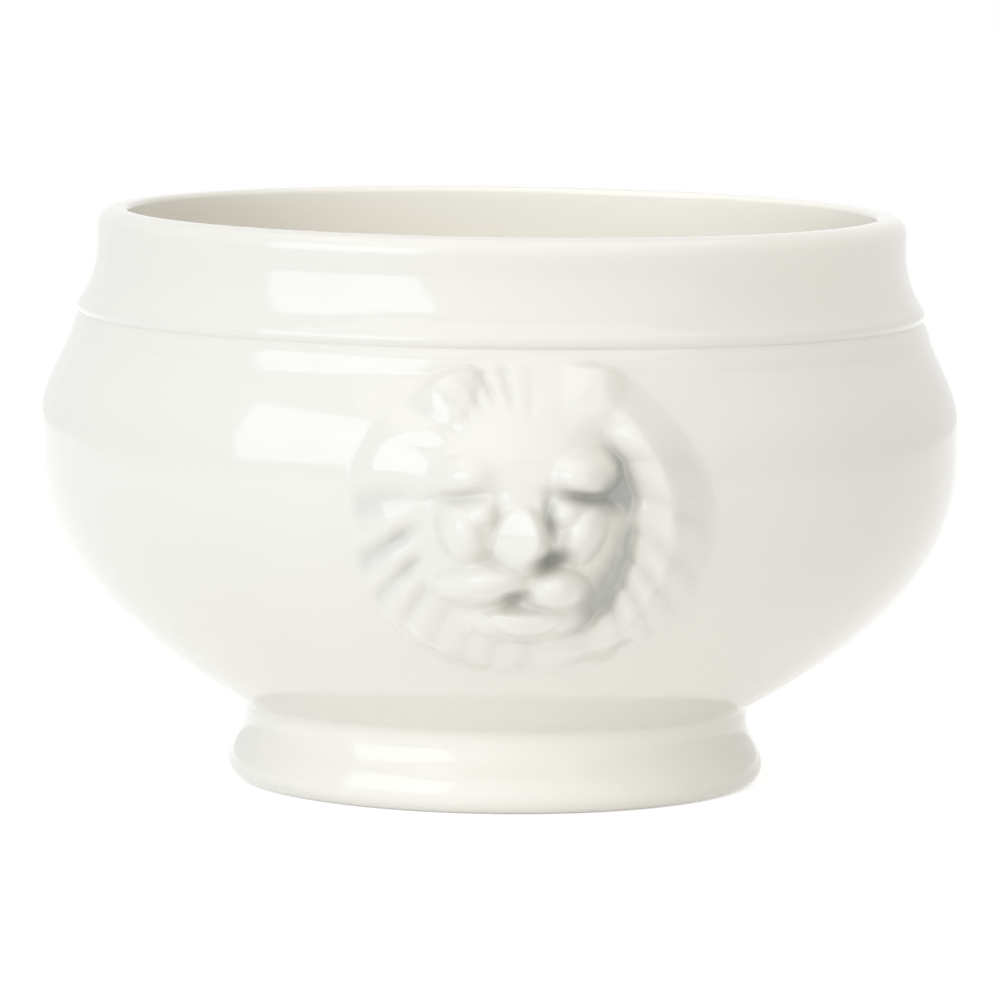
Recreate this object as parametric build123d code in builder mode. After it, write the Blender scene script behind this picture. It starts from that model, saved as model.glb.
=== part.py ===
"""French onion soup crock: a round-bellied lion-head bowl on a pedestal foot.

Millimetres, +Z up. The pot is turned about Z and stands on Z = 0; the two lion
masks look out along -Y (front) and +Y (back).
"""

import math
import os
from typing import NamedTuple

from build123d import *

os.makedirs("parts", exist_ok=True)

# Heights above the table
joint_z = 9.0            # top of the foot ring
belly_z = 45.5           # widest level of the belly
shoulder_z = 63.6        # top of the belly, under the shoulder bead
bead_foot_z = 64.9
bead_z = 65.8            # crest of the bead
collar_z = 66.9          # foot of the hollow collar
band_z = 74.6            # foot of the upright band under the lip
height = 79.2            # top of the lip

# Outside radii
foot_radius = 37.3       # flare of the foot
waist_radius = 35.1      # neck between foot and belly
belly_radius = 64.0
rim_radius = 56.1
collar_flare = 2.15      # how far the collar's foot stands out beyond the rim
bead_foot_step = 0.1     # and these beyond the collar's foot
bead_step = 0.5
shoulder_step = 0.7

# Run of the outside curves
cove_size = 2.4          # hollow round the waist
cove_sweep = 60.0        # degrees, from upright to the slope of the lower belly
lower_belly_pull = 16.0  # how far each end holds its direction
upper_belly_pull = 8.5
shoulder_lean = 25.0     # degrees from upright

# Wall and floor
wall = 4.5               # at the belly
lip = 4.2                # thickness of the lip, flat on top between two rounds
lip_outer_round = 2.2
lip_inner_round = 0.8
floor = 4.6
floor_flat = 22.0        # radius of the level floor
inner_belly_pull = 17.0
inner_neck_pull = 11.5

# Foot ring
foot_wall = 4.3          # width of its top, under the bowl
foot_bearing = 2.9       # width of its flat, on the table
foot_round = 2.4         # round of its bottom edge
foot_inner_round = 0.8
foot_pull = 2.4
slip = 0.4               # coat of slip in each joint

# Lion mask, seen from the front
mask_z = 42.0            # its middle
mane_width = 22.0        # half width and half height, without the tips of the locks
mane_height = 19.4
mane_rise = 3.4          # how far the mane stands off the bowl
lock_count = 17          # round tips of the locks along the mane's edge
lock_radius = 2.8


class Ball(NamedTuple):
    """A rounded form of the lion's face."""

    across: float   # from the middle of the mask
    up: float
    radius: float
    stand: float    # how far it stands off the bowl


forehead = Ball(0.0, 7.6, 14.5, 4.6)
jaw = Ball(0.0, -3.5, 14.5, 5.0)
brow = Ball(7.2, 7.0, 5.0, 5.6)
cheek = Ball(8.4, -1.0, 5.6, 5.6)
ear = Ball(10.0, 17.0, 4.3, 3.8)
ear_hollow = Ball(9.6, 17.6, 2.4, 6.6)
nose_bridge = Ball(0.0, 4.2, 4.4, 7.2)
nose_tip = Ball(0.0, -1.2, 4.3, 10.8)
whisker_pad = Ball(4.0, -6.4, 4.5, 9.4)
chin = Ball(0.0, -13.2, 5.0, 7.4)

base_z = joint_z + slip
floor_z = base_z + floor
lip_z = height - lip_outer_round
lip_inner_z = height - lip_inner_round
lip_inner = rim_radius - lip
inner_belly = belly_radius - wall
collar_radius = rim_radius + collar_flare
lean = math.radians(shoulder_lean)
belly = Vector(belly_radius, belly_z)
shoulder = Vector(collar_radius + shoulder_step, shoulder_z)
bead_foot = Vector(collar_radius + bead_foot_step, bead_foot_z)
bead = Vector(collar_radius + bead_step, bead_z)
collar = Vector(collar_radius, collar_z)

# Outside of the bowl from the foot joint up to the lip, drawn as radius and height
with BuildLine() as outside:
    cove = JernArc((waist_radius, base_z), (0, 1), cove_size, -cove_sweep)
    Bezier(
        cove @ 1,
        cove @ 1 + (cove % 1) * lower_belly_pull,
        belly - Vector(0, lower_belly_pull),
        belly,
    )
    Bezier(
        belly,
        belly + Vector(0, upper_belly_pull),
        shoulder + Vector(math.sin(lean), -math.cos(lean)) * upper_belly_pull,
        shoulder,
    )
    TangentArc(shoulder, bead_foot, tangent=(-math.sin(lean), math.cos(lean)))
    ThreePointArc(bead_foot, bead, collar)
    TangentArc((rim_radius, band_z), collar, tangent=(0, -1))
    Line((rim_radius, band_z), (rim_radius, lip_z))

# The outside as a full solid: what the lion masks are pressed against
with BuildPart() as bowl_form:
    with BuildSketch(Plane.XZ):
        with BuildLine():
            add(outside.line)
            Polyline((rim_radius, lip_z), (0, lip_z), (0, base_z), (waist_radius, base_z))
        make_face()
    revolve(axis=Axis.Z)

# Bowl: floor, belly, collar and rounded lip in one wall
with BuildPart() as bowl_wall:
    with BuildSketch(Plane.XZ):
        with BuildLine():
            add(outside.line)
            lip_edge = JernArc((rim_radius, lip_z), (0, 1), lip_outer_round, 90)
            lip_top = Line(lip_edge @ 1, (lip_inner + lip_inner_round, height))
            JernArc(lip_top @ 1, (-1, 0), lip_inner_round, 90)
            Bezier(
                (lip_inner, lip_inner_z),
                (lip_inner, lip_inner_z - inner_neck_pull),
                (inner_belly, belly_z + inner_neck_pull),
                (inner_belly, belly_z),
            )
            Bezier(
                (inner_belly, belly_z),
                (inner_belly, belly_z - inner_belly_pull),
                (floor_flat + inner_belly_pull, floor_z),
                (floor_flat, floor_z),
            )
            Polyline((floor_flat, floor_z), (0, floor_z), (0, base_z), (waist_radius, base_z))
        make_face()
    revolve(axis=Axis.Z)

# Foot: a flared ring with a flat to stand on, hollow inside
with BuildPart() as foot_ring:
    with BuildSketch(Plane.XZ) as foot_section:
        bearing_outer = foot_radius - foot_round
        bearing_inner = bearing_outer - foot_bearing
        with BuildLine():
            edge = JernArc((bearing_outer, 0), (1, 0), foot_round, 90)
            Bezier(
                edge @ 1,
                edge @ 1 + Vector(0, foot_pull),
                (waist_radius, joint_z - foot_pull),
                (waist_radius, joint_z),
            )
            Polyline(
                (waist_radius, joint_z),
                (waist_radius - foot_wall, joint_z),
                (bearing_inner, 0),
                (bearing_outer, 0),
            )
        make_face()
        fillet(foot_section.vertices().sort_by_distance((bearing_inner, 0))[0], foot_inner_round)
    revolve(axis=Axis.Z)

# Slip that joins the foot to the underside of the bowl
with BuildPart() as foot_slip:
    with BuildSketch(Plane.XY.offset(joint_z)):
        Circle(waist_radius)
        Circle(waist_radius - foot_wall, mode=Mode.SUBTRACT)
    extrude(amount=slip)


def bowl_radius(z):
    """Outside radius of the bowl at height z, found by halving along its outside."""
    curve = Wire(outside.edges())
    low, high = 0.0, 1.0
    for _ in range(30):
        middle = (low + high) / 2
        if (curve @ middle).Y < z:
            low = middle
        else:
            high = middle
    return (curve @ low).X


def off_bowl(x, up, stand):
    """Point of the mask that lies this far in front of the bowl."""
    z = mask_z + up
    return Vector(x, -math.sqrt(bowl_radius(z) ** 2 - x**2) - stand, z)


def seat(ball, side=1):
    """Centre of a ball that stands off the bowl by its own measure."""
    return off_bowl(side * ball.across, ball.up, ball.stand - ball.radius)


lock_turns = [2 * math.pi * i / lock_count for i in range(lock_count)]
lock_tips = [(mane_width * math.sin(turn), mask_z + mane_height * math.cos(turn)) for turn in lock_turns]

# The mask as it is sculpted, running on into the bowl: a scalloped mane and a round-featured face
with BuildPart() as lion_form:
    with BuildSketch(Plane.XZ.offset(belly_radius / 2)):
        with Locations((0, mask_z)):
            Ellipse(mane_width, mane_height)
        with Locations(*lock_tips):
            Circle(lock_radius)
    extrude(amount=2 * belly_radius)
    with Locations((0, -mane_rise, 0)):
        add(bowl_form.part, mode=Mode.INTERSECT)
    for ball in (forehead, jaw, nose_bridge, nose_tip, chin):
        with Locations(seat(ball)):
            Sphere(ball.radius)
    for ball in (brow, cheek, whisker_pad, ear):
        for side in (1, -1):
            with Locations(seat(ball, side)):
                Sphere(ball.radius)
    for side in (1, -1):
        with Locations(seat(ear_hollow, side)):
            Sphere(ear_hollow.radius, mode=Mode.SUBTRACT)

# Mask: what stands in front of the slip on the belly
with BuildPart() as lion_head_front:
    add(lion_form.part)
    with Locations((0, -slip, 0)):
        add(bowl_form.part, mode=Mode.SUBTRACT)

with BuildPart() as lion_slip_front:
    add(lion_form.part)
    with Locations((0, -slip, 0)):
        add(bowl_form.part, mode=Mode.INTERSECT)
    add(bowl_form.part, mode=Mode.SUBTRACT)

with BuildPart() as lion_head_back:
    add(lion_head_front.part, rotation=(0, 0, 180))

with BuildPart() as lion_slip_back:
    add(lion_slip_front.part, rotation=(0, 0, 180))

bowl_wall.part.label = "bowl_wall"
foot_ring.part.label = "foot_ring"
foot_slip.part.label = "foot_slip"
lion_head_front.part.label = "lion_head_front"
lion_slip_front.part.label = "lion_slip_front"
lion_head_back.part.label = "lion_head_back"
lion_slip_back.part.label = "lion_slip_back"

export_step(bowl_wall.part, "parts/bowl_wall.step")
export_step(foot_ring.part, "parts/foot_ring.step")
export_step(foot_slip.part, "parts/foot_slip.step")
export_step(lion_head_front.part, "parts/lion_head_front.step")
export_step(lion_slip_front.part, "parts/lion_slip_front.step")
export_step(lion_head_back.part, "parts/lion_head_back.step")
export_step(lion_slip_back.part, "parts/lion_slip_back.step")
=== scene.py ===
"""French onion soup crock: a round-bellied lion-head bowl on a pedestal foot, in warm white glaze.

Sizes are in millimetres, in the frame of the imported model, and become metres as each mesh is made. The table,
the lamps and the camera are placed in metres.
"""
import math
from typing import NamedTuple

import bpy
import numpy as np
from mathutils import Euler, Matrix, Vector


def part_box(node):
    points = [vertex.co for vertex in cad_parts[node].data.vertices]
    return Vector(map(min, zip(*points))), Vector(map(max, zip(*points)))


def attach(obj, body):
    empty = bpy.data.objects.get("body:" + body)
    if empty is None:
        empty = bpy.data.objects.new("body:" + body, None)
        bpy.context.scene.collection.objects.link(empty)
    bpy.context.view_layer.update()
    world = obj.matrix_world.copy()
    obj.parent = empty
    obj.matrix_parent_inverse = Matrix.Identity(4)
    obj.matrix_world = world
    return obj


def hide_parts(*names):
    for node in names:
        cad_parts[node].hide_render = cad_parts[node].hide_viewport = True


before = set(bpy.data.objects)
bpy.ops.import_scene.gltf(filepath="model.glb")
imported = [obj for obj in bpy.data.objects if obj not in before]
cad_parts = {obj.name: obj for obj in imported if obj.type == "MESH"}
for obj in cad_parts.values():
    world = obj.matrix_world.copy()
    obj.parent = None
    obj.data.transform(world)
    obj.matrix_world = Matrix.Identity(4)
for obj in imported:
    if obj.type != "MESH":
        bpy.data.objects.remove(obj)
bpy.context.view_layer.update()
mm = 0.001


# The bowl is one jiggered wall of stoneware: level floor, round belly, a narrow band and a bead at the
# shoulder, a hollow collar and a rounded lip. It is dipped, so glaze covers it inside and out.
bowl_low, bowl_high = (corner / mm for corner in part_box("bowl_wall"))
bowl_base = bowl_low.z
bowl_top = bowl_high.z
belly_radius = bowl_high.x
belly_z = 45.5
waist_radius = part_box("foot_slip")[1].x / mm
rim_radius = 56.1
lip_width = 4.2
lip_outer_round = 2.2
lip_inner_round = 0.8
wall = 4.5                  # at the belly
floor = 4.6                 # thickness of the floor
floor_flat = 22.0           # radius of its level part
inner_rim = rim_radius - lip_width

# Points of the outside, as radius and height
cove_top = (waist_radius + 1.2, bowl_base + 2.1)
belly = (belly_radius, belly_z)
shoulder = (59.72, 61.8)
band_edge = (59.38, 63.2)
bead_foot = (58.45, 64.9)
collar_foot = (58.25, 66.9)
collar_top = (rim_radius, 74.6)
lip_edge = (rim_radius, bowl_top - lip_outer_round)

# Headings of its runs in degrees, and how far both ends of a curve hold theirs
outward, upward, inward, downward = 0.0, 90.0, 180.0, 270.0
lower_belly_heading = 30.0
shoulder_heading = 115.0
band_heading = 100.0
band_edge_heading = 107.0
bead_heading = 50.0
lower_belly_pull = 16.0
upper_belly_pull = 8.5
inner_neck_pull = 11.5
inner_belly_pull = 17.0

turns = 360                 # points round every turned piece
crisp = 0.06                # distance of the two points that keep a corner crisp

clay_white = (0.82, 0.788, 0.713)
cloud_shade = 0.965         # share of that white that is left in the clouds of the glaze
cloud_waves = 38.0          # clouds to the metre
cloud_detail = 3.0
clear_roughness, cloudy_roughness = 0.05, 0.11


class Ripple(NamedTuple):
    """Unevenness of the glaze's surface."""

    waves: float            # to the metre
    detail: float           # finer waves over them
    strength: float
    height: float


soft_ripple = Ripple(95.0, 1.0, 0.35, 0.22)
orange_peel = Ripple(620.0, 2.0, 0.25, 0.01)


def towards(point, heading, length):
    """The point that lies this far from another at a heading."""
    turn = math.radians(heading)
    return point[0] + length * math.cos(turn), point[1] + length * math.sin(turn)


def sweep(start, heading, end, end_heading, pull, count):
    """Cubic between two points that holds each end's heading over the pull: four points by cubic weights."""
    t = np.linspace(0, 1, count)[:, None]
    corners = [start, towards(start, heading, pull), towards(end, end_heading, -pull), end]
    weights = [(1 - t) ** 3, 3 * t * (1 - t) ** 2, 3 * t**2 * (1 - t), t**3]
    return sum(weight * np.array(corner, float) for weight, corner in zip(weights, corners))


def arc(start, heading, end, count):
    """Circular arc that leaves start at a heading and ends at end: a chord that grows as its turn's sine."""
    start, end = np.array(start, float), np.array(end, float)
    first = math.radians(heading)
    chord = end - start
    turn = (math.atan2(chord[1], chord[0]) - first + math.pi) % (2 * math.pi) - math.pi
    part = np.linspace(0, 1, count) * turn
    reach = np.hypot(*chord) * np.sin(part) / math.sin(turn)
    return start + np.stack([reach * np.cos(first + part), reach * np.sin(first + part)], axis=1)


def edge_run(start, end, count):
    """Straight run, evenly spaced, with one more point close to each end so that its corners stay crisp."""
    start, end = np.array(start, float), np.array(end, float)
    guard = crisp / np.hypot(*(end - start))
    t = np.concatenate([[0], np.linspace(guard, 1 - guard, count), [1]])[:, None]
    return start + (end - start) * t


def joined(runs):
    """Runs laid end to end as one line, each without the point that it shares with the one before."""
    return np.concatenate([runs[0]] + [run[1:] for run in runs[1:]])


def outside_profile():
    """Radius and height of the bowl's outside from the foot joint up to the lip: arcs, two cubics, a line."""
    return joined([
        arc((waist_radius, bowl_base), upward, cove_top, 12),
        sweep(cove_top, lower_belly_heading, belly, upward, lower_belly_pull, 56),
        sweep(belly, upward, shoulder, shoulder_heading, upper_belly_pull, 30),
        arc(shoulder, band_heading, band_edge, 12),
        arc(band_edge, band_edge_heading, bead_foot, 12),
        arc(bead_foot, bead_heading, collar_foot, 14),
        arc(collar_top, downward, collar_foot, 20)[::-1],
        np.linspace(collar_top, lip_edge, 6),
    ])


outside = outside_profile()


def bowl_profile():
    """The wall's whole section from axis to axis: underside, outside, lip, inside and floor."""
    lip_top_outer = (rim_radius - lip_outer_round, bowl_top)
    lip_top_inner = (inner_rim + lip_inner_round, bowl_top)
    inner_lip = (inner_rim, bowl_top - lip_inner_round)
    inner_belly = (belly_radius - wall, belly_z)
    floor_edge = (floor_flat, bowl_base + floor)
    return joined([
        edge_run((0, bowl_base), (waist_radius, bowl_base), 8),
        outside,
        arc(lip_edge, upward, lip_top_outer, 14),
        np.linspace(lip_top_outer, lip_top_inner, 3),
        arc(lip_top_inner, inward, inner_lip, 10),
        sweep(inner_lip, downward, inner_belly, downward, inner_neck_pull, 26),
        sweep(inner_belly, downward, floor_edge, inward, inner_belly_pull, 30),
        np.linspace(floor_edge, (0, bowl_base + floor), 8),
    ])


def turned(profile):
    """Grid of points: the profile's radius and height carried round the axis."""
    angle = np.arange(turns) * 2 * math.pi / turns
    radius, height = profile[:, :1], profile[:, 1:]
    return np.stack([radius * np.cos(angle), radius * np.sin(angle), height + 0 * angle], axis=2)


def grid_faces(rows, columns, wrap_rows=False):
    """Four-cornered faces between neighbours of a grid that closes on itself along its columns."""
    row = np.arange(rows if wrap_rows else rows - 1)[:, None]
    column = np.arange(columns)[None, :]
    here, below = row * columns, (row + 1) % rows * columns
    after = (column + 1) % columns
    return np.stack([here + column, here + after, below + after, below + column], axis=2).reshape(-1, 4)


def capped(points):
    """Points and faces of a grid whose first and last rows are single points: a fan closes each end."""
    rows, columns = points.shape[:2]
    ring = points[1:-1].reshape(-1, 3)
    vertices = np.concatenate([ring, points[0, :1], points[-1, :1]])
    start, end = len(ring), len(ring) + 1
    column = np.arange(columns)
    after = (column + 1) % columns
    last = (rows - 3) * columns
    first_fan = np.stack([np.full(columns, start), after, column], axis=1)
    last_fan = np.stack([last + column, last + after, np.full(columns, end)], axis=1)
    return vertices, [grid_faces(rows - 2, columns), first_fan, last_fan]


def make_piece(name, points, faces, material):
    """A smooth mesh object at the origin, from points in millimetres and arrays of faces."""
    mesh = bpy.data.meshes.new(name)
    corners = [face for array in faces for face in array.tolist()]
    mesh.from_pydata((points.reshape(-1, 3) * mm).tolist(), [], corners)
    mesh.polygons.foreach_set("use_smooth", np.ones(len(mesh.polygons), bool))
    mesh.materials.append(material)
    mesh.update()
    piece = bpy.data.objects.new(name, mesh)
    bpy.context.scene.collection.objects.link(piece)
    return piece


def uneven(material, waves, detail):
    """Noise from 0 to 1 over the piece's own coordinates."""
    nodes, links = material.node_tree.nodes, material.node_tree.links
    place = nodes.new("ShaderNodeTexCoord")
    noise = nodes.new("ShaderNodeTexNoise")
    noise.inputs["Scale"].default_value = waves
    noise.inputs["Detail"].default_value = detail
    links.new(place.outputs["Object"], noise.inputs["Vector"])
    return noise.outputs["Fac"]


def bump(material, ripple):
    """Noise that tilts the surface as waves of this height would."""
    nodes, links = material.node_tree.nodes, material.node_tree.links
    waves = nodes.new("ShaderNodeBump")
    waves.inputs["Strength"].default_value = ripple.strength
    waves.inputs["Distance"].default_value = ripple.height * mm
    links.new(uneven(material, ripple.waves, ripple.detail), waves.inputs["Height"])
    return waves


def glaze(name):
    """Clear gloss over warm white clay: a noise clouds colour and gloss, and two more ripple the surface."""
    material = bpy.data.materials.new(name)
    material.use_nodes = True
    nodes, links = material.node_tree.nodes, material.node_tree.links
    shader = nodes["Principled BSDF"]
    cloud = uneven(material, cloud_waves, cloud_detail)

    tint = nodes.new("ShaderNodeMix")
    tint.data_type = "RGBA"
    tint.inputs["A"].default_value = (*clay_white, 1)
    tint.inputs["B"].default_value = (*(cloud_shade * channel for channel in clay_white), 1)
    links.new(cloud, tint.inputs["Factor"])
    links.new(tint.outputs["Result"], shader.inputs["Base Color"])

    gloss = nodes.new("ShaderNodeMapRange")
    gloss.inputs["To Min"].default_value = clear_roughness
    gloss.inputs["To Max"].default_value = cloudy_roughness
    links.new(cloud, gloss.inputs["Value"])
    links.new(gloss.outputs["Result"], shader.inputs["Roughness"])

    soft, fine = bump(material, soft_ripple), bump(material, orange_peel)
    links.new(soft.outputs["Normal"], fine.inputs["Normal"])
    links.new(fine.outputs["Normal"], shader.inputs["Normal"])
    return material


bowl_points, bowl_faces = capped(turned(bowl_profile()))
bowl = make_piece("glazed_bowl", bowl_points, bowl_faces, glaze("bowl_glaze"))
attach(bowl, "root")
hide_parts("bowl_wall")


# The foot is a ring turned by itself and stuck under the bowl: it flares to a rounded edge and stands on a
# narrow flat, which is wiped bare of glaze before firing.
foot_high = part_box("foot_ring")[1] / mm
foot_radius = foot_high.x
foot_top = foot_high.z
foot_round = 2.4
foot_pull = 2.4             # how far both ends of the flare stay upright
foot_width = 4.3            # at its top, under the bowl
bearing = 2.9               # width of its underside, with the inner round
foot_inner_round = 0.8
foot_inner_lean = 0.2       # how far the inside has drawn in over that round, as a share of it
foot_inner_top = waist_radius - foot_width
bearing_outer = foot_radius - foot_round
bearing_inner = bearing_outer - bearing

bare_clay = (0.62, 0.57, 0.48, 1)
bare_roughness = 0.85
glaze_line = 0.22           # height above which the glaze is whole
wiped_line = 0.12           # and below which it is gone


def foot_profile():
    """Closed section of the foot ring: bearing flat, rounded edge, hollow flare, top and sloping inside."""
    inner_heading = math.degrees(math.atan2(-foot_top, bearing_inner - foot_inner_top))
    flat_start, flat_end = (bearing_inner + foot_inner_round, 0), (bearing_outer, 0)
    flare_foot, flare_top = (foot_radius, foot_round), (waist_radius, foot_top)
    inner_top = (foot_inner_top, foot_top)
    inner_end = (bearing_inner - foot_inner_lean * foot_inner_round, foot_inner_round)
    return joined([
        np.linspace(flat_start, flat_end, 6),
        arc(flat_end, outward, flare_foot, 16),
        sweep(flare_foot, upward, flare_top, upward, foot_pull, 26),
        edge_run(flare_top, inner_top, 4),
        edge_run(inner_top, inner_end, 8),
        arc(inner_end, inner_heading, flat_start, 8),
    ])[1:]


def give_way(material, socket, amount, value):
    """What feeds one of the shader's sockets gives way to a value, by an amount from 0 to 1."""
    nodes, links = material.node_tree.nodes, material.node_tree.links
    fed = nodes["Principled BSDF"].inputs[socket]
    mix = nodes.new("ShaderNodeMix")
    mix.data_type = "RGBA" if socket == "Base Color" else "FLOAT"
    mix.inputs["B"].default_value = value
    links.new(amount, mix.inputs["Factor"])
    links.new(fed.links[0].from_socket, mix.inputs["A"])
    links.new(mix.outputs["Result"], fed)


def bare_below(material):
    """Next to the table the glaze gives way to dry, darker clay: colour and roughness follow the height."""
    nodes, links = material.node_tree.nodes, material.node_tree.links
    place = nodes.new("ShaderNodeTexCoord")
    height = nodes.new("ShaderNodeSeparateXYZ")
    links.new(place.outputs["Object"], height.inputs["Vector"])
    wiped = nodes.new("ShaderNodeMapRange")
    wiped.inputs["From Min"].default_value = glaze_line * mm
    wiped.inputs["From Max"].default_value = wiped_line * mm
    links.new(height.outputs["Z"], wiped.inputs["Value"])
    give_way(material, "Base Color", wiped.outputs["Result"], bare_clay)
    give_way(material, "Roughness", wiped.outputs["Result"], bare_roughness)


foot_material = glaze("foot_glaze")
bare_below(foot_material)
foot_points = turned(foot_profile())
foot_faces = grid_faces(len(foot_points), turns, wrap_rows=True)
foot = make_piece("glazed_foot", foot_points, [foot_faces], foot_material)
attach(foot, "root")
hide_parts("foot_ring")


# Slip, liquid clay of the same body, joins the foot to the bowl. It is wiped smooth over the joint at the
# waist and stands in a small bead inside the foot, and the glaze runs over it.
slip_overlap = 1.0          # how far it is wiped up and down from the joint
slip_swell = 0.04           # how far it stands out there
slip_feather = 2.4          # how fast the swell runs out into the wall
slip_inset = 0.4            # from the waist to the flats between foot and bowl
slip_bead_heading = 200.0


def slip_profile():
    """Closed section of the joint: flat between foot and bowl, a faint swell outside, a round bead inside."""
    inner_low, inner_high = (foot_inner_top, foot_top), (foot_inner_top, bowl_base)
    flat_end = waist_radius - slip_inset
    wiped = np.linspace(-1, 1, 13)
    swell_radius = waist_radius + slip_swell * (1 - slip_feather * wiped**2)
    swell_height = (foot_top + bowl_base) / 2 + slip_overlap * wiped
    runs = [
        edge_run(inner_low, (flat_end, foot_top), 4)[1:],
        np.stack([swell_radius, swell_height], axis=1),
        edge_run((flat_end, bowl_base), inner_high, 4),
        arc(inner_high, slip_bead_heading, inner_low, 10)[1:],
    ]
    return np.concatenate(runs)


slip_points = turned(slip_profile())
slip_faces = grid_faces(len(slip_points), turns, wrap_rows=True)
slip = make_piece("foot_joint_slip", slip_points, [slip_faces], glaze("slip_glaze"))
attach(slip, "root")
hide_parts("foot_slip")


# The lion masks are sprigs: clay pressed in a one-sided mould, so that every form draws straight out of it,
# then stuck on the belly with slip and softened by the glaze, which gathers in the grooves. Grooves and hollows
# are painted grey, partly for that pooled glaze and partly as painted shade, heaviest on the right side.
mask_low, mask_high = (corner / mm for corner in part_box("lion_head_front"))
mask_z = (mask_low.z + mask_high.z) / 2
mask_width = (mask_high.x - mask_low.x) / 2    # half sizes
mask_height = (mask_high.z - mask_low.z) / 2
mask_shift = 1.0            # the mane reaches further on one side, and the face sits nearer the other
face_shift = -0.6
mask_spokes = 480           # points round the mask
mask_rings = 180            # points from its middle to its edge
mask_skirt = ((1.015, -0.08), (1.04, -0.6), (0.6, -1.2), (0.0, -1.2))  # shares of the reach, and heights


class Stretch(NamedTuple):
    """A stretch of the way round the mask, fading to both sides, in radians from the top to the right."""

    middle: float
    spread: float


ear_tips = Stretch(0.5, 0.18)            # on both sides of the top
tufts = Stretch(-0.24, 0.24)             # narrow forelocks between the ears
broad_lock = Stretch(-1.1, 0.3)          # one smooth lock beside the left ear
broad_tip = Stretch(-1.1, 0.28)
clear_locks = Stretch(-1.65, 0.55)       # the clearest locks, at the left
clear_tips = Stretch(-1.65, 0.5)
thick_edge = Stretch(-2.55, 0.4)         # rounded edge at the lower left
right_locks = Stretch(1.9, 0.8)
shaded_jaw = Stretch(2.3, 0.42)          # where the groove at the lower right is broad
chin_locks = Stretch(math.pi, 0.5)       # on both sides of the bottom
right_side = (0.35, 2.95)                # start and end of the side with a groove and a roll of hair
right_fade = 0.65                        # radians over which that side comes in at each end


class Form(NamedTuple):
    """A rounded form of the face on an oval."""

    across: float           # from the middle of the face, the same on both sides where it comes in pairs
    up: float
    width: float            # half sizes of the oval
    height: float
    turn: float             # in radians, outer end up
    top: float              # how far it stands off the bowl
    fall: float             # how far it has dropped at the oval's edge
    crease: float           # softness of the crease where it joins the rest
    power: float = 2.3      # flatness of its top


class Hollow(NamedTuple):
    """A bell-shaped hollow in the face on an oval."""

    across: float
    up: float
    width: float
    height: float
    turn: float
    depth: float


head = Form(0.6, 0.4, 13.0, 16.2, 0.0, 7.0, 5.6, 1.2, 2.7)
brow = Form(7.3, 7.2, 4.0, 2.7, -0.15, 8.2, 2.9, 0.8)
eye = Form(5.6, 2.3, 2.2, 1.9, 0.0, 8.1, 2.0, 1.2)
cheek = Form(7.5, -0.6, 2.8, 3.9, 0.0, 8.7, 2.8, 0.7)
nose = Form(-0.3, -1.1, 4.0, 5.2, 0.0, 11.0, 4.6, 0.4, 3.0)
left_pad = Form(-4.3, -6.8, 5.2, 2.7, 0.15, 9.6, 3.0, 1.1)
right_pad = Form(4.3, -7.7, 3.5, 2.9, 0.0, 10.2, 3.2, 0.6)
chin = Form(0.6, -12.4, 6.0, 2.7, 0.0, 7.4, 2.6, 0.8)
ear = Form(9.3, 17.2, 3.6, 3.4, -0.3, 3.9, 2.0, 1.2)

brow_crease = Hollow(8.4, 4.4, 4.0, 0.8, -0.15, 2.0)
temple = Hollow(12.2, 4.6, 1.9, 2.4, 0.0, 2.6)
nose_side = Hollow(3.3, 1.6, 0.9, 3.2, 0.0, 1.6)
nostril = Hollow(3.5, -3.8, 2.5, 1.2, 0.3, 2.4)
mouth_gap = Hollow(-1.0, -9.0, 1.7, 1.0, 0.3, 2.6)
mouth = Hollow(0.2, -10.5, 4.6, 0.8, 0.0, 0.7)
ear_hollow = Hollow(9.0, 16.8, 2.4, 2.0, -0.3, 0.7)


def ease(t):
    """Smooth step from 0 to 1: three times the square less twice the cube."""
    t = np.clip(t, 0, 1)
    return t * t * (3 - 2 * t)


def bell(t):
    """1 at 0 and fading to both sides: the exponential of minus the square."""
    return np.exp(-(t**2))


def along(stretch, angle):
    """Bell round the mask: 1 at the middle of a stretch."""
    return bell((angle - stretch.middle) / stretch.spread)


def distance(form, x, up):
    """Distance from the middle of an oval, 1 on its outline."""
    c, s = math.cos(form.turn), math.sin(form.turn)
    lengthwise = (x - form.across) * c + (up - form.up) * s
    crosswise = (up - form.up) * c - (x - form.across) * s
    return np.hypot(lengthwise / form.width, crosswise / form.height)


def swelling(form, x, up):
    """A rounded form: its top, falling off as a power of the distance."""
    return form.top - form.fall * distance(form, x, up) ** form.power


def hollowing(hollow, x, up):
    """Depth of a hollow: a bell of the distance."""
    return hollow.depth * bell(distance(hollow, x, up))


def meet(first, second, soft):
    """The higher of two forms, with the crease between them softened over this height."""
    return 0.5 * (first + second + np.hypot(first - second, soft))


# Hair of the mane: locks that fall outwards from roots round the face
lock_waves = 10.5           # waves round the mask, two locks to each
lock_root = 13.0            # distance of the roots from the mask's middle
lock_length = 11.0
lock_sweep = 0.34           # how far a lock falls round the mask, in radians, from root to tip
lock_sway = ((0.08, 3, 0.8), (0.04, 5, 2.0))  # uneven widths: size in radians, waves round the mask, phase
tuft_phase = 1.5 * math.pi  # further phase to both sides of the tufts, which makes their locks narrower
tuft_span = 0.3             # radians over which it comes in
faint_scallop, clear_scallop = 0.05, 1.0      # depth between the tips of the locks
ear_reach = 1.0             # how far ears and broad lock stand out of the oval
broad_reach = 1.4


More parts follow.
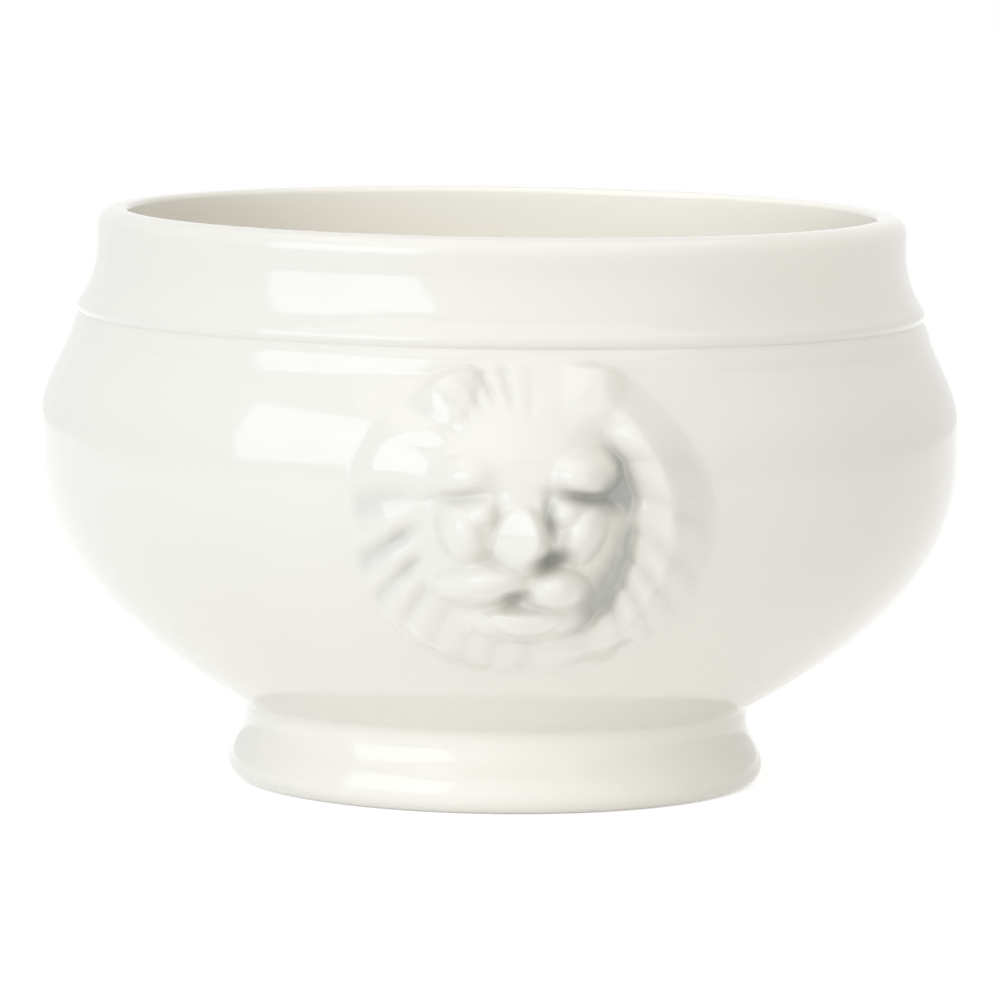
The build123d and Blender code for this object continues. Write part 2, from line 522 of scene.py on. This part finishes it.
def locks(angle, reach):
    """1 along the crest of each lock and 0 between: the cosine of an angle that is swept down and swayed."""
    root = angle - lock_sweep * np.sin(angle) * (reach - lock_root) / lock_length
    swayed = root + sum(size * np.sin(waves * root + phase) for size, waves, phase in lock_sway)
    return np.abs(np.cos(lock_waves * swayed + tuft_phase * np.tanh((root - tufts.middle) / tuft_span)))


def mask_outline(angle):
    """Reach of the mask at each angle: an oval, less scallops between locks, plus ears and broad lock."""
    oval = 1 / np.hypot(np.sin(angle) / mask_width, np.cos(angle) / mask_height)
    scallop = faint_scallop + clear_scallop * along(clear_tips, angle)
    further = ear_reach * along(ear_tips, np.abs(angle)) + broad_reach * along(broad_tip, angle)
    return oval + mask_shift * np.sin(angle) - scallop * (1 - locks(angle, oval)) + further


# Plate of hair at the top and left; parts are shares of the reach
plate = 2.3                 # its thickness
plate_slope = 0.26          # part over which it rises from the mask's edge
plate_steeper = 0.14        # and how much less that is at the thick edge and the broad lock
broad_swell = 0.3           # how much thicker the broad lock is, as a share of the plate
broad_swell_from, broad_swell_over = 0.9, 0.4
bottom_fade = 0.4           # radians over which the thick edge ends at the bottom


def thickened(angle):
    """1 at the thick edge, fading to both sides and to nothing at the bottom."""
    return along(thick_edge, angle) * ease((angle + math.pi) / bottom_fade)


def hair_plate(angle, part):
    """A smooth rise from the mask's edge to the plate's thickness, steeper and thicker at some stretches."""
    broad = along(broad_lock, angle)
    rise = ease((1 - part) / (plate_slope - plate_steeper * (thickened(angle) + broad)))
    return plate * rise * (1 + broad_swell * broad * ease((broad_swell_from - part) / broad_swell_over))


# Face's rim on the right: a groove, and a roll of hair beyond it; distances are 1 on the rim's oval
rim_across = 0.3
rim_width, rim_height = 12.9, 16.0
rim_scallop = 0.03          # how far the locks push the rim in and out
mean_crest = 0.64           # between a lock's crest, 1, and its sides, 0
roll = 4.3                  # how far the roll of hair stands off the bowl
roll_foot = 0.3             # share of that at its inner foot
roll_flank = 0.55           # share of its width that each flank takes
roll_from, roll_fade = 0.92, 0.2              # where the face gives way to it
least_part, least_roll = 0.05, 0.1            # keep its width from vanishing
groove_depth = 2.2
groove_rim = 1.03           # distance at which the groove is deepest
groove_inner, groove_outer = 0.13, 0.07       # width of its flanks
jaw_inner = 0.15            # how much wider the inner one is at the jaw
groove_from, groove_fade = 0.6, 0.4           # radians from the top
cheek_fill = 0.6            # how far it is filled beside the cheek
cheek_fill_up, cheek_fill_spread = 1.2, 1.4
settled_and_shade_spread, jaw_settled_and_shade = 0.06, 0.2       # width of the grey of pooled glaze and shade, and how much wider at the jaw


def hair_roll(rim, part):
    """Roll of hair: a smooth rise and fall by the share of the way from the face's rim to the mask's edge."""
    edge = rim / np.maximum(part, least_part)
    way = np.clip((rim - 1) / np.maximum(edge - 1, least_roll), 0, 1)
    return roll * (roll_foot + (1 - roll_foot) * ease(way / roll_flank)) * ease((1 - way) / roll_flank)


def face_groove(rim, angle, up):
    """Depth of the groove, a bell with two unlike flanks, and its share painted grey as settled glaze and
    shade.
    """
    jaw = along(shaded_jaw, angle)
    flank = np.where(rim < groove_rim, groove_inner + jaw_inner * jaw, groove_outer)
    filled = cheek_fill * bell((up - cheek_fill_up) / cheek_fill_spread)
    depth = groove_depth * bell((rim - groove_rim) / flank) * (1 - filled)
    settled_and_shade = bell((rim - groove_rim) / (settled_and_shade_spread + jaw_settled_and_shade * jaw))
    return depth * ease((angle - groove_from) / groove_fade), settled_and_shade


# Cuts between the locks, by stretch, and the raised line along the thick edge
faint_cut = 0.1
cut_depths = ((tufts, 0.8), (right_locks, 0.75))
clear_cut = 1.8
broad_smooth = 0.85         # share of the clear cuts that the broad lock lacks
chin_cut = 0.45
cut_from, tuft_cut_from = 0.56, 0.14          # part at which cuts start, and how much later in the tufts
cut_fade, cut_edge_fade = 0.15, 0.1
cut_round = 0.2             # roundness of a lock's crest
ridge = 1.3
ridge_part, ridge_spread = 0.915, 0.03


def hair_cuts(angle, part, crest):
    """Depth of the cuts: by stretch, from the roots to the tips, and least on the locks' crests."""
    depth = faint_cut + sum(size * along(stretch, angle) for stretch, size in cut_depths)
    depth = depth + clear_cut * along(clear_locks, angle) * (1 - broad_smooth * along(broad_lock, angle))
    depth = depth + chin_cut * along(chin_locks, np.abs(angle))
    start = cut_from + tuft_cut_from * along(tufts, angle)
    length = ease((part - start) / cut_fade) * ease((1 - part) / cut_edge_fade)
    return depth * length * (1 - np.hypot(crest, cut_round))


# Pooled glaze and painted shade: grey painted into the hollows, the groove and the cuts, greyer the deeper
pool_and_shade_grey = (0.47, 0.475, 0.44, 1)
hollow_full = 2.6           # depth at which the painted grey has its full colour, in a hollow and in the groove
groove_full = 2.4
cut_pool_and_shade = 0.25             # and how it grows with a cut between locks


def head_and_mane(x, up, angle, reach, part):
    """Height of the domed head with the hair round it, and how grey it is painted there for pooled glaze and
    shade.

    At the top and left the dome runs out into the plate of hair. On the right it drops to the groove along
    the face's rim, and the roll of hair stands beyond. Locks are cut in the hair, and the ears joined on.
    """
    side = x - face_shift
    right = ease((angle - right_side[0]) / right_fade) * ease((right_side[1] - angle) / right_fade)
    crest = locks(angle, reach)
    rim = np.hypot((x - rim_across) / rim_width, (up - head.up) / rim_height)
    rim = rim + rim_scallop * right * (crest - mean_crest)
    groove, settled_and_shade = face_groove(rim, angle, up)
    cut = hair_cuts(angle, part, crest)

    dome = swelling(head, side, up)
    left_ground = meet(dome, hair_plate(angle, part), head.crease)
    beyond = ease((rim - roll_from) / roll_fade)
    right_ground = (1 - beyond) * dome + beyond * hair_roll(rim, part) - groove
    ground = (1 - right) * left_ground + right * right_ground - cut
    ground = ground + ridge * thickened(angle) * bell((part - ridge_part) / ridge_spread)
    ground = meet(ground, swelling(ear, np.abs(side), up), ear.crease)
    ground = ground - hollowing(ear_hollow, np.abs(side), up)
    # The groove's grey is painted shade on the right side only; the cuts' grey is pooled glaze and shade.
    return ground, right * groove * settled_and_shade / groove_full + cut_pool_and_shade * cut


# Features of the face, which are flatter and softer on the left
left_loss = 0.5             # share of the hollows, and of their painted grey, that is lost there
left_fade = 2.0
brow_sink, brow_blur = 2.2, 3.0               # drop and softening of the brow for a whole loss
cheek_blur = 2.0
cheek_lean = 0.25           # how far the cheeks lean out as they rise
nose_slimming = 0.04        # per millimetre upwards
flank_from, flank_slope = 1.2, 0.45           # flat on the nose's left: its start, and its fall to the left
flank_up, flank_lean = -4.5, 0.2              # and the same upwards
flank_crease = 0.5
left_nostril = 0.3          # share of the right one's depth
lower_lip_middle, lower_lip_up = 0.6, -13.9
lower_lip_curl = 0.085      # rise of its line to both corners, by the square of the distance
lower_lip_reach, lower_lip_fade = 6.0, 1.5
lower_lip, lower_lip_spread = 0.5, 0.6        # height and half width of its raised line


def features(ground, side, up):
    """Height of the face with its features, and how grey it is painted there for pooled glaze and shade.

    Brows, cheeks, eyes, chin, whisker pads and nose are joined to the ground one after the other, each at a
    soft crease. Hollows are sunk before the eyes are set in, and nostrils and mouth are cut last.
    """
    pair = np.abs(side)
    loss = left_loss * (1 - ease((side + left_fade) / (2 * left_fade)))
    face = meet(ground, swelling(brow, pair, up) - brow_sink * loss, brow.crease + brow_blur * loss)
    leaning = pair - cheek_lean * (up - cheek.up)
    face = meet(face, swelling(cheek, leaning, up), cheek.crease + cheek_blur * loss)
    hollows = hollowing(brow_crease, pair, up) + hollowing(temple, side, up) + hollowing(nose_side, pair, up)
    hollows = (1 - loss) * hollows
    face = meet(face - hollows, swelling(eye, pair, up), eye.crease)
    for form in (chin, left_pad, right_pad):
        face = meet(face, swelling(form, side, up), form.crease)

    slimmer = 1 + nose_slimming * (up - nose.up)
    flank = nose.top - flank_slope * (flank_from - side) - flank_lean * (up - flank_up)
    flattened = -meet(-swelling(nose, side * slimmer, up), -flank, flank_crease)
    face = meet(face, flattened, nose.crease)

    cuts = hollowing(nostril, side, up) + left_nostril * hollowing(nostril, -side, up)
    cuts = cuts + hollowing(mouth_gap, side, up) + hollowing(mouth, side, up)
    off_middle = side - lower_lip_middle
    off_line = up - lower_lip_up - lower_lip_curl * off_middle**2
    line_ends = ease((lower_lip_reach - np.abs(off_middle)) / lower_lip_fade)
    face = face - cuts + lower_lip * bell(off_line / lower_lip_spread) * line_ends
    # On the left, the lit side, the painted grey of hollows and cuts is halved.
    return face, (1 - loss) * (hollows + cuts) / hollow_full


# Edge of the mask, softened by the glaze
edge_inside = 0.25          # part over which the least height and its softness grow from the edge
edge_least, inside_least = 0.05, 0.3          # at the edge, and how much more inside
edge_blur, inside_blur = 0.15, 0.7
edge_fade = 0.05            # part over which the mask ends on the bowl


def lion_relief(x, up):
    """Height of the mask over the bowl and, from 0 to 1, how grey it is painted for pooled glaze and shade.

    The features stand on head and mane. The whole is kept from sinking into the bowl and thins out to nothing
    at the edge.
    """
    angle, reach = np.arctan2(x, up), np.hypot(x, up)
    part = reach / mask_outline(angle)
    ground, ground_pool_and_shade = head_and_mane(x, up, angle, reach, part)
    face, face_pool_and_shade = features(ground, x - face_shift, up)
    inside = ease((1 - part) / edge_inside)
    height = meet(face, edge_least + inside_least * inside, edge_blur + inside_blur * inside)
    return height * ease((1 - part) / edge_fade), np.clip(ground_pool_and_shade + face_pool_and_shade, 0, 1)


def mask_points(side):
    """Points of a mask laid as relief on the bowl's outside, and the grey of pooled glaze and shade painted at
    each.

    Rings run from its middle to its edge, on to a skirt that is let into the wall, and back to a middle under
    it. side is -1 for the mask that looks along -Y, and 1 for the other, which is the same turned half round.
    """
    skirt_part, skirt_height = np.array(mask_skirt).T
    angle = (np.arange(mask_spokes) + 0.5) * 2 * math.pi / mask_spokes - math.pi
    rings = np.concatenate([np.linspace(0, 1, mask_rings), skirt_part])[:, None]
    reach = rings * mask_outline(angle)
    x, up = reach * np.sin(angle), reach * np.cos(angle)
    height, pool_and_shade = lion_relief(x, up)
    height[mask_rings:] = skirt_height[:, None]
    z = mask_z + up
    radius = np.interp(z, outside[:, 1], outside[:, 0])
    depth = np.sqrt(radius**2 - x**2) + height
    return np.stack([-side * x, side * depth, z], axis=2), pool_and_shade


def set_pool_and_shade(piece, pool_and_shade):
    """Writes the grey painted on each point of a capped grid, for pooled glaze and shade."""
    values = np.concatenate([pool_and_shade[1:-1].ravel(), pool_and_shade[0, :1], pool_and_shade[-1, :1]])
    layer = piece.data.attributes.new("pool_and_shade", "FLOAT", "POINT")
    layer.data.foreach_set("value", values.astype(np.float32))


# The lion's glaze gives way to grey by a painted point attribute: pooled glaze in part, painted shade in part.
lion_material = glaze("lion_glaze")
pool_and_shade_attribute = lion_material.node_tree.nodes.new("ShaderNodeAttribute")
pool_and_shade_attribute.attribute_name = "pool_and_shade"
give_way(lion_material, "Base Color", pool_and_shade_attribute.outputs["Fac"], pool_and_shade_grey)
for name, side in (("front", -1), ("back", 1)):
    points, pool_and_shade = mask_points(side)
    vertices, faces = capped(points)
    lion = make_piece(f"lion_mask_{name}", vertices, faces, lion_material)
    set_pool_and_shade(lion, pool_and_shade)
    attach(lion, "root")
    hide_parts(f"lion_head_{name}", f"lion_slip_{name}")


# Table and backdrop are one plain white sheet in a white room. Seen by the camera, or mirrored in the glaze,
# they are lifted to white, and the sheet keeps the bowl's shadow.
sheet_half = 0.7            # half its width
sheet_drop = -0.02 * mm     # keeps it clear of the bearing flat
sheet_white = (0.9, 0.9, 0.9, 1)
sheet_roughness = 0.9
sheet_glow, sheet_glow_seen = 0.06, 0.55
room_light, room_light_seen = 0.54, 1.0
pure_white = (1, 1, 1, 1)


def lifted(tree, strength, plain, seen, kinds):
    """A strength that is plain except for rays of these kinds: the largest of their marks picks the other."""
    rays = tree.nodes.new("ShaderNodeLightPath")
    mark = rays.outputs[kinds[0]]
    for kind in kinds[1:]:
        largest = tree.nodes.new("ShaderNodeMath")
        largest.operation = "MAXIMUM"
        tree.links.new(mark, largest.inputs[0])
        tree.links.new(rays.outputs[kind], largest.inputs[1])
        mark = largest.outputs["Value"]
    level = tree.nodes.new("ShaderNodeMapRange")
    level.inputs["To Min"].default_value = plain
    level.inputs["To Max"].default_value = seen
    tree.links.new(mark, level.inputs["Value"])
    tree.links.new(level.outputs["Result"], strength)


sheet_mesh = bpy.data.meshes.new("white_table")
corners = [(x * sheet_half, y * sheet_half, sheet_drop) for x, y in ((-1, -1), (1, -1), (1, 1), (-1, 1))]
sheet_mesh.from_pydata(corners, [], [(0, 1, 2, 3)])
sheet = bpy.data.objects.new("white_table", sheet_mesh)
bpy.context.scene.collection.objects.link(sheet)
paper = bpy.data.materials.new("white_paper")
paper.use_nodes = True
matt = paper.node_tree.nodes["Principled BSDF"].inputs
matt["Base Color"].default_value = sheet_white
matt["Roughness"].default_value = sheet_roughness
matt["Specular IOR Level"].default_value = 0.0
matt["Emission Color"].default_value = pure_white
lifted(paper.node_tree, matt["Emission Strength"], sheet_glow, sheet_glow_seen,
       ("Is Camera Ray", "Is Glossy Ray"))
sheet_mesh.materials.append(paper)

world = bpy.data.worlds.new("white_room")
bpy.context.scene.world = world
world.use_nodes = True
room = world.node_tree.nodes["Background"].inputs
room["Color"].default_value = pure_white
lifted(world.node_tree, room["Strength"], room_light, room_light_seen,
       ("Is Camera Ray", "Is Glossy Ray", "Is Transmission Ray"))


# Light: a cool soft box at the camera's left, which mirrors in collar, shoulder and belly, a broad screen in
# front and a soft box overhead. Two narrow fills reach the inside, over the rim, and the foot.
camera_turn = -3.2          # degrees round the bowl, from straight in front of the lion
cool_white = (0.75, 0.86, 1.0)
plain_white = (1.0, 1.0, 1.0)
fill_reach = 1.2            # from the middle of the belly
fill_blend = 0.7            # share of the beam over which its edge fades
fill_size = 0.02            # radius of the lamp


class SoftBox(NamedTuple):
    """A rectangular lamp that faces the bowl and glows evenly."""

    turn: float             # degrees round the bowl
    rise: float             # degrees above the table
    reach: float            # from the middle of the belly
    width: float
    height: float
    radiance: float
    colour: tuple


class Fill(NamedTuple):
    """A lamp with a flat narrow beam that is aimed at one place and isn't mirrored in the glaze."""

    turn: float
    rise: float
    aim: tuple              # in millimetres
    beam: float             # degrees
    flatness: float         # height of the beam as a share of its width
    energy: float


soft_boxes = {
    "soft_box": SoftBox(camera_turn - 44.5, 18.5, 1.2, 0.99, 0.78, 2.1, cool_white),
    "front_screen": SoftBox(camera_turn + 8, 20.0, 2.0, 4.4, 1.5, 0.42, plain_white),
    "top_light": SoftBox(camera_turn, 80.0, 1.2, 1.7, 1.7, 0.7, plain_white),
}
fills = {
    "inside_light": Fill(camera_turn + 4, 24.0, (18, inner_rim, 64), 7.0, 0.22, 29.0),
    "foot_light": Fill(camera_turn, 3.0, (0, -waist_radius, 5), 8.0, 0.18, 13.0),
}
belly_middle = Vector((0, 0, belly_z * mm))


def around(turn, rise, reach):
    """Point at this turn round the bowl, this angle above the table, this far from the belly's middle."""
    t, e = math.radians(turn), math.radians(rise)
    return belly_middle + reach * Vector((math.sin(t) * math.cos(e), -math.cos(t) * math.cos(e), math.sin(e)))


def place_lamp(name, lamp, place, aim):
    """A lamp object that stands at one place and points at another."""
    light = bpy.data.objects.new(name, lamp)
    light.location = place
    light.rotation_euler = (aim - place).to_track_quat("-Z", "Y").to_euler()
    bpy.context.scene.collection.objects.link(light)
    return light


for name, box in soft_boxes.items():
    lamp = bpy.data.lights.new(name, "AREA")
    lamp.shape = "RECTANGLE"
    lamp.size, lamp.size_y = box.width, box.height
    lamp.energy = box.radiance * math.pi * box.width * box.height
    lamp.color = box.colour
    place_lamp(name, lamp, around(box.turn, box.rise, box.reach), belly_middle)

for name, fill in fills.items():
    lamp = bpy.data.lights.new(name, "SPOT")
    lamp.energy = fill.energy
    lamp.spot_size = math.radians(fill.beam)
    lamp.spot_blend = fill_blend
    lamp.shadow_soft_size = fill_size
    light = place_lamp(name, lamp, around(fill.turn, fill.rise, fill_reach), Vector(fill.aim) * mm)
    light.scale = (1.0, fill.flatness, 1.0)
    light.visible_glossy = False


# Camera: a long lens a little above the rim, on its stand at the left of the lion's middle line. It tilts
# down to the bowl and leans a little to one side.
camera_reach = 0.960
camera_height = 0.14267
camera_pitch = 6.175
camera_roll = 0.80
lens = bpy.data.cameras.new("camera")
lens.lens = 249.3
lens.sensor_width = 36.0
lens.shift_x = 0.0015
camera = bpy.data.objects.new("camera", lens)
turn = math.radians(camera_turn)
camera.location = (math.sin(turn) * camera_reach, -math.cos(turn) * camera_reach, camera_height)
level_view = Euler((math.radians(90 - camera_pitch), 0, turn)).to_matrix()
camera.rotation_euler = (level_view @ Matrix.Rotation(math.radians(camera_roll), 3, "Z")).to_euler()
bpy.context.scene.collection.objects.link(camera)
bpy.context.scene.camera = camera
bpy.context.scene.view_settings.view_transform = "Standard"
